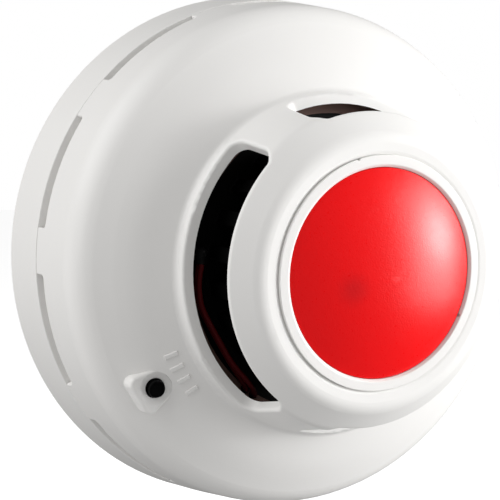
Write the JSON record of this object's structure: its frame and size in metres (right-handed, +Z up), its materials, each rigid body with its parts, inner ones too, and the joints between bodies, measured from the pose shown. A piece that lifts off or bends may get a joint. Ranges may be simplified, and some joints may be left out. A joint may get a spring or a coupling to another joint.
{
  "type": "heat detector",
  "caption": "Round wall or ceiling heat detector: twist-on vented head with a red signal dome and a push-to-test plunger, on a slotted mounting base.",
  "frame": {"origin": "centre of the mounting face, where the axis of the round body and of the cable entry meets the wall", "axes": "+Y points out of the mounting face into the wall or ceiling, -Y along the body axis out through the lens, +Z up with the test plunger at the lower left; for ceiling use turn it so that -Y points down"},
  "size_m": [0.1038, 0.0496, 0.1038],
  "materials": {
    "white_plastic": "satin moulded white",
    "reflector_white": "gloss white",
    "red_lens": "satin translucent red",
    "lamp_red": "clear red epoxy",
    "black_plastic": "satin black",
    "steel": "zinc plated",
    "tinned_pins": "tinned",
    "red_sleeve": "sleeved wire",
    "seal_brown": "moulded brown",
    "brass_contacts": "bright",
    "board_green": "solder mask on glass fibre",
    "capacitor_sleeve": "shrink sleeve",
    "suppressor_blue": "epoxy coated",
    "black_epoxy": "moulded epoxy",
    "chip_black": "printed thick film",
    "chip_tan": "fired ceramic"
  },
  "bodies": {
    "base": {"mounting_base": "white_plastic", "terminal_washers": "steel", "terminal_screws": "steel", "base_contact_1": "brass_contacts", "base_contact_2": "brass_contacts", "base_contact_3": "brass_contacts", "base_contact_4": "brass_contacts"},
    "head": {"front_cover": "white_plastic", "rear_chassis": "white_plastic", "lens_bezel": "white_plastic", "led_reflector": "reflector_white", "signal_lens": "red_lens", "alarm_led": "lamp_red", "sensor_cage": "black_plastic", "test_switch": "black_plastic", "test_switch_plate": "steel", "test_switch_pins": "tinned_pins", "board_screws": "steel", "cover_screws": "steel", "led_board": "board_green", "main_board": "board_green", "led_link_pins": "brass_contacts", "heat_sensor": "black_epoxy", "heat_sensor_leads": "red_sleeve", "chamber_seal": "seal_brown", "alarm_relay": "black_plastic", "relay_pins": "tinned_pins", "filter_capacitor": "capacitor_sleeve", "supply_capacitor": "capacitor_sleeve", "surge_suppressor": "suppressor_blue", "bridge_rectifier": "black_epoxy", "reference_sensor": "black_epoxy", "microcontroller": "black_epoxy", "microcontroller_leads": "tinned_pins", "transistors": "black_epoxy", "chip_resistors": "chip_black", "chip_capacitors": "chip_tan", "contact_blade_1": "brass_contacts", "contact_blade_2": "brass_contacts", "contact_blade_3": "brass_contacts", "contact_blade_4": "brass_contacts"},
    "test_button": {"test_button": "black_plastic"}
  },
  "joints": [
    {"name": "head_twist", "type": "hinge", "parent": "base", "child": "head", "pos_m": [0, 0, 0], "axis": [0, -1, 0], "range_deg": [0, 18]},
    {"name": "test_button_press", "type": "slide", "parent": "head", "child": "test_button", "axis": [0, 1, 0], "range_m": [0, 0.0005], "stiffness_N_per_m": 3000}
  ]
}
